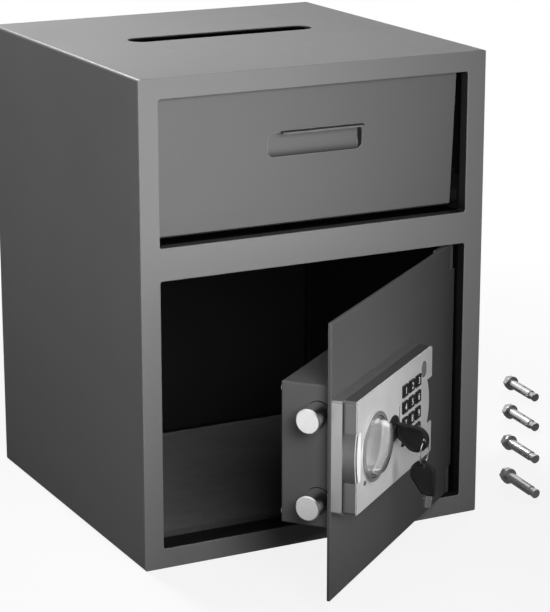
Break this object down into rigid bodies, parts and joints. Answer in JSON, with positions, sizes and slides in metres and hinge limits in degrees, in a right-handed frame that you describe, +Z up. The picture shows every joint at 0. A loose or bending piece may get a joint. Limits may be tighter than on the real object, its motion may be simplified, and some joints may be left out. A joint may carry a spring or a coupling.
{
  "type": "depository safe",
  "caption": "Sheet steel deposit safe with a top slot, a tilting hopper flap, a hinged door, keypad lock with knob, sliding bolts and emergency keys.",
  "frame": {"origin": "centre of the cabinet's base, on the surface it stands on", "axes": "the front faces -Y, +X is the hinge side, +Z is up"},
  "size_m": [0.599, 0.5467, 0.45],
  "materials": {
    "powder_coat": "fine textured dark grey powder coat",
    "powder_inner": "dark powder coat of the inner parts",
    "plated": "zinc plated steel",
    "bright": "bright plated steel",
    "lock_silver": "satin silver paint",
    "black_plastic": "black moulded plastic",
    "button_plastic": "black moulded keys with pale figures",
    "blackened": "blackened steel",
    "rubber": "black rubber",
    "mat": "dark textured mat",
    "brass": "machined brass",
    "window": "smoked lens",
    "board": "circuit board",
    "cell": "plain sleeve"
  },
  "bodies": {
    "cabinet": {"cabinet_shell": "powder_coat", "back_panel": "powder_coat", "front_frame": "powder_coat", "divider_shelf": "powder_inner", "slot_baffle": "powder_inner", "strike_channel": "powder_inner", "hinge_lugs": "powder_inner", "hinge_pins": "blackened", "hinge_washers": "blackened", "hopper_brackets": "powder_inner", "hopper_bushes": "black_plastic", "hopper_bumpers": "rubber", "floor_mat": "mat", "anchor_studs": "plated", "anchor_sleeves": "plated", "anchor_nuts": "plated"},
    "hopper": {"hopper_flap": "powder_coat", "hopper_cheeks": "powder_inner", "hopper_tray": "powder_inner", "hopper_pivots": "blackened"},
    "door": {"door_panel": "powder_coat", "door_knuckles": "powder_inner", "lock_box": "powder_coat", "lock_screws": "plated", "bolt_guide": "plated", "spindle_bush": "brass", "lock_base": "lock_silver", "lock_face": "lock_silver", "knob_bezel": "bright", "indicator_window": "window", "key_cylinder": "black_plastic", "circuit_board": "board", "solenoid": "plated", "battery_holder": "black_plastic", "batteries": "cell", "battery_cover": "black_plastic", "lock_cable": "black_plastic"},
    "bolts": {"lock_bolts": "bright", "bolt_bar": "plated"},
    "turn_knob": {"knob": "bright", "cam_spindle": "plated"},
    "solenoid_plunger": {"plunger": "plated"},
    "lock_plug": {"key_plug": "bright"},
    "emergency_key": {"emergency_bow": "black_plastic", "emergency_barrel": "bright"},
    "ring": {"key_ring": "bright"},
    "spare_key": {"spare_bow": "black_plastic", "spare_barrel": "bright"},
    "push_button_1": {"button_1": "button_plastic"},
    "push_button_2": {"button_2": "button_plastic"},
    "push_button_3": {"button_3": "button_plastic"},
    "push_button_4": {"button_4": "button_plastic"},
    "push_button_5": {"button_5": "button_plastic"},
    "push_button_6": {"button_6": "button_plastic"},
    "push_button_7": {"button_7": "button_plastic"},
    "push_button_8": {"button_8": "button_plastic"},
    "push_button_9": {"button_9": "button_plastic"},
    "push_button_star": {"button_star": "button_plastic"},
    "push_button_0": {"button_0": "button_plastic"},
    "push_button_hash": {"button_hash": "button_plastic"}
  },
  "joints": [
    {"name": "door_hinge", "type": "hinge", "parent": "cabinet", "child": "door", "pos_m": [0.147, -0.16, 0.144], "axis": [0, 0, 1], "range_deg": [-39.3, 60.7]},
    {"name": "hopper_tilt", "type": "hinge", "parent": "cabinet", "child": "hopper", "pos_m": [0, -0.145, 0.3095], "axis": [1, 0, 0], "range_deg": [0, 45]},
    {"name": "bolt_slide", "type": "slide", "parent": "door", "child": "bolts", "axis": [0.7738, 0.6334, 0], "range_m": [0, 0.019]},
    {"name": "knob_turn", "type": "hinge", "parent": "door", "child": "turn_knob", "pos_m": [-0.0491, -0.32697, 0.15], "axis": [0.6334, -0.7738, 0], "range_deg": [-90, 0]},
    {"name": "plunger_slide", "type": "slide", "parent": "door", "child": "solenoid_plunger", "axis": [-0.6334, 0.7738, 0], "range_m": [-0.005, 0]},
    {"name": "key_turn", "type": "hinge", "parent": "door", "child": "lock_plug", "pos_m": [-0.01389, -0.29815, 0.152], "axis": [0.6334, -0.7738, 0], "range_deg": [0, 90]},
    {"name": "key_pull", "type": "slide", "parent": "lock_plug", "child": "emergency_key", "axis": [0.6334, -0.7738, 0], "range_m": [0, 0.015]},
    {"name": "ring_swing", "type": "hinge", "parent": "emergency_key", "child": "ring", "pos_m": [0.01842, -0.33761, 0.145], "axis": [0.7738, 0.6334, 0], "range_deg": [-15, 10]},
    {"name": "spare_swing", "type": "hinge", "parent": "ring", "child": "spare_key", "pos_m": [0.01842, -0.33761, 0.12248], "axis": [0.7738, 0.6334, 0], "range_deg": [-20, 10]},
    {"name": "press_button_1", "type": "slide", "parent": "door", "child": "push_button_1", "axis": [-0.6334, 0.7738, 0], "range_m": [0, 0.0012], "stiffness_N_per_m": 300},
    {"name": "press_button_2", "type": "slide", "parent": "door", "child": "push_button_2", "axis": [-0.6334, 0.7738, 0], "range_m": [0, 0.0012], "stiffness_N_per_m": 300},
    {"name": "press_button_3", "type": "slide", "parent": "door", "child": "push_button_3", "axis": [-0.6334, 0.7738, 0], "range_m": [0, 0.0012], "stiffness_N_per_m": 300},
    {"name": "press_button_4", "type": "slide", "parent": "door", "child": "push_button_4", "axis": [-0.6334, 0.7738, 0], "range_m": [0, 0.0012], "stiffness_N_per_m": 300},
    {"name": "press_button_5", "type": "slide", "parent": "door", "child": "push_button_5", "axis": [-0.6334, 0.7738, 0], "range_m": [0, 0.0012], "stiffness_N_per_m": 300},
    {"name": "press_button_6", "type": "slide", "parent": "door", "child": "push_button_6", "axis": [-0.6334, 0.7738, 0], "range_m": [0, 0.0012], "stiffness_N_per_m": 300},
    {"name": "press_button_7", "type": "slide", "parent": "door", "child": "push_button_7", "axis": [-0.6334, 0.7738, 0], "range_m": [0, 0.0012], "stiffness_N_per_m": 300},
    {"name": "press_button_8", "type": "slide", "parent": "door", "child": "push_button_8", "axis": [-0.6334, 0.7738, 0], "range_m": [0, 0.0012], "stiffness_N_per_m": 300},
    {"name": "press_button_9", "type": "slide", "parent": "door", "child": "push_button_9", "axis": [-0.6334, 0.7738, 0], "range_m": [0, 0.0012], "stiffness_N_per_m": 300},
    {"name": "press_button_star", "type": "slide", "parent": "door", "child": "push_button_star", "axis": [-0.6334, 0.7738, 0], "range_m": [0, 0.0012], "stiffness_N_per_m": 300},
    {"name": "press_button_0", "type": "slide", "parent": "door", "child": "push_button_0", "axis": [-0.6334, 0.7738, 0], "range_m": [0, 0.0012], "stiffness_N_per_m": 300},
    {"name": "press_button_hash", "type": "slide", "parent": "door", "child": "push_button_hash", "axis": [-0.6334, 0.7738, 0], "range_m": [0, 0.0012], "stiffness_N_per_m": 300}
  ],
  "couplings": [
    {"joint": "knob_turn", "follows": "bolt_slide", "rad_per_m": -82.67}
  ]
}
